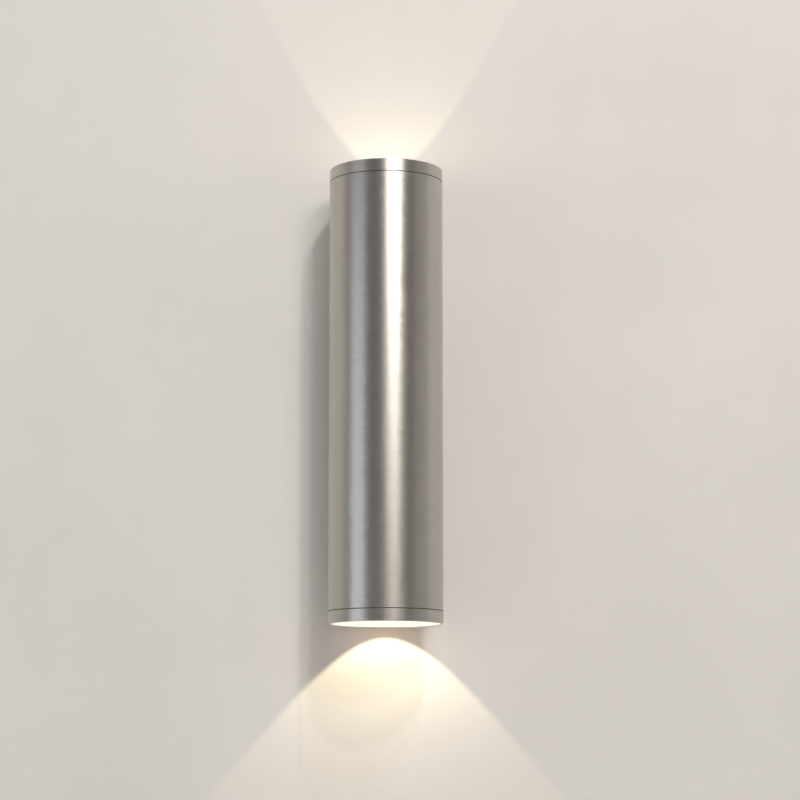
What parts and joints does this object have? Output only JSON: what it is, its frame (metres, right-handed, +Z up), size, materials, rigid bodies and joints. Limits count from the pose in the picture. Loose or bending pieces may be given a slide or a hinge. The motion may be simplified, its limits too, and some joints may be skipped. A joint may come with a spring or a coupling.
{
  "type": "tube wall light",
  "caption": "Slim upright brushed-metal tube that lights a wall upwards and downwards through a flush frosted glass disc in each screw-on end ring, on a hidden wall bracket.",
  "frame": {"origin": "centre of the wall bracket's back face, midway between its two wall slots, on the wall", "axes": "+Z up along the tube, +Y into the wall, -Y towards the room, +X to the right as seen from the room"},
  "size_m": [0.06, 0.066, 0.241],
  "materials": {
    "brushed_nickel_steel": "fine brushing round the tube, satin",
    "frosted_glass": "satin frosted, lit warm white from inside",
    "clear_silicone": "cured translucent silicone",
    "black_rubber": "moulded, matte",
    "black_foam": "closed-cell foam",
    "cast_frame": "die-cast, satin silver-grey paint",
    "zinc_sheet": "bright zinc plated sheet steel",
    "plain_screws": "bright stainless fasteners",
    "natural_nylon": "natural nylon, moulded",
    "brass_fittings": "turned and pressed, bright",
    "tinned_copper": "tinned, satin",
    "brown_insulation": "silicone insulation",
    "blue_insulation": "silicone insulation",
    "green_yellow_insulation": "silicone insulation, green with yellow stripes",
    "white_ceramic": "unglazed steatite",
    "lamp_white": "moulded, slight gloss",
    "lamp_lens": "clear moulded optic",
    "led_board": "white solder mask on aluminium",
    "nickel_pins": "nickel plated"
  },
  "bodies": {
    "bracket": {"wall_bracket": "zinc_sheet", "cable_grommet": "black_rubber"},
    "light": {"main_tube": "brushed_nickel_steel", "back_frame": "cast_frame", "wall_seal": "black_foam", "frame_screws": "plain_screws", "frame_nuts": "plain_screws", "grub_screws": "plain_screws", "inner_strip": "zinc_sheet", "terminal_block": "natural_nylon", "terminal_inserts": "brass_fittings", "clamp_screws": "plain_screws", "fixing_screws": "plain_screws", "earth_tag": "tinned_copper", "earth_screw": "plain_screws", "upper_live_lead": "brown_insulation", "lower_live_lead": "brown_insulation", "upper_neutral_lead": "blue_insulation", "lower_neutral_lead": "blue_insulation", "earth_lead": "green_yellow_insulation", "upper_holder_cap": "white_ceramic", "upper_holder_body": "white_ceramic", "upper_holder_contacts": "brass_fittings", "upper_holder_screws": "plain_screws", "upper_holder_bracket": "zinc_sheet", "lower_holder_cap": "white_ceramic", "lower_holder_body": "white_ceramic", "lower_holder_contacts": "brass_fittings", "lower_holder_screws": "plain_screws", "lower_holder_bracket": "zinc_sheet"},
    "upper_seal": {"upper_o_ring": "black_rubber"},
    "upper_cap": {"upper_end_ring": "brushed_nickel_steel", "upper_glass_disc": "frosted_glass", "upper_glass_bedding": "clear_silicone"},
    "upper_lamp": {"upper_lamp_shell": "lamp_white", "upper_lamp_optic": "lamp_lens", "upper_lamp_board": "led_board", "upper_lamp_base": "lamp_white", "upper_lamp_pins": "nickel_pins"},
    "lower_seal": {"lower_o_ring": "black_rubber"},
    "lower_cap": {"lower_end_ring": "brushed_nickel_steel", "lower_glass_disc": "frosted_glass", "lower_glass_bedding": "clear_silicone"},
    "lower_lamp": {"lower_lamp_shell": "lamp_white", "lower_lamp_optic": "lamp_lens", "lower_lamp_board": "led_board", "lower_lamp_base": "lamp_white", "lower_lamp_pins": "nickel_pins"}
  },
  "joints": [
    {"name": "light_pull_off", "type": "slide", "parent": "bracket", "child": "light", "axis": [0, -1, 0], "range_m": [0, 0.03]},
    {"name": "upper_cap_travel", "type": "slide", "parent": "light", "child": "upper_seal", "axis": [0, 0, 1], "range_m": [0, 0.0075]},
    {"name": "upper_cap_turn", "type": "hinge", "parent": "upper_seal", "child": "upper_cap", "pos_m": [0, -0.036, 0.115], "axis": [0, 0, 1], "range_deg": [0, 1800]},
    {"name": "upper_lamp_twist", "type": "hinge", "parent": "light", "child": "upper_lamp", "pos_m": [0, -0.036, 0.06], "axis": [0, 0, 1], "range_deg": [0, 30]},
    {"name": "lower_cap_travel", "type": "slide", "parent": "light", "child": "lower_seal", "axis": [0, 0, -1], "range_m": [0, 0.0075]},
    {"name": "lower_cap_turn", "type": "hinge", "parent": "lower_seal", "child": "lower_cap", "pos_m": [0, -0.036, -0.115], "axis": [0, 0, -1], "range_deg": [0, 1800]},
    {"name": "lower_lamp_twist", "type": "hinge", "parent": "light", "child": "lower_lamp", "pos_m": [0, -0.036, -0.06], "axis": [0, 0, -1], "range_deg": [0, 30]}
  ],
  "couplings": [
    {"joint": "upper_cap_turn", "follows": "upper_cap_travel", "rad_per_m": 4188.8},
    {"joint": "lower_cap_turn", "follows": "lower_cap_travel", "rad_per_m": 4188.8}
  ]
}
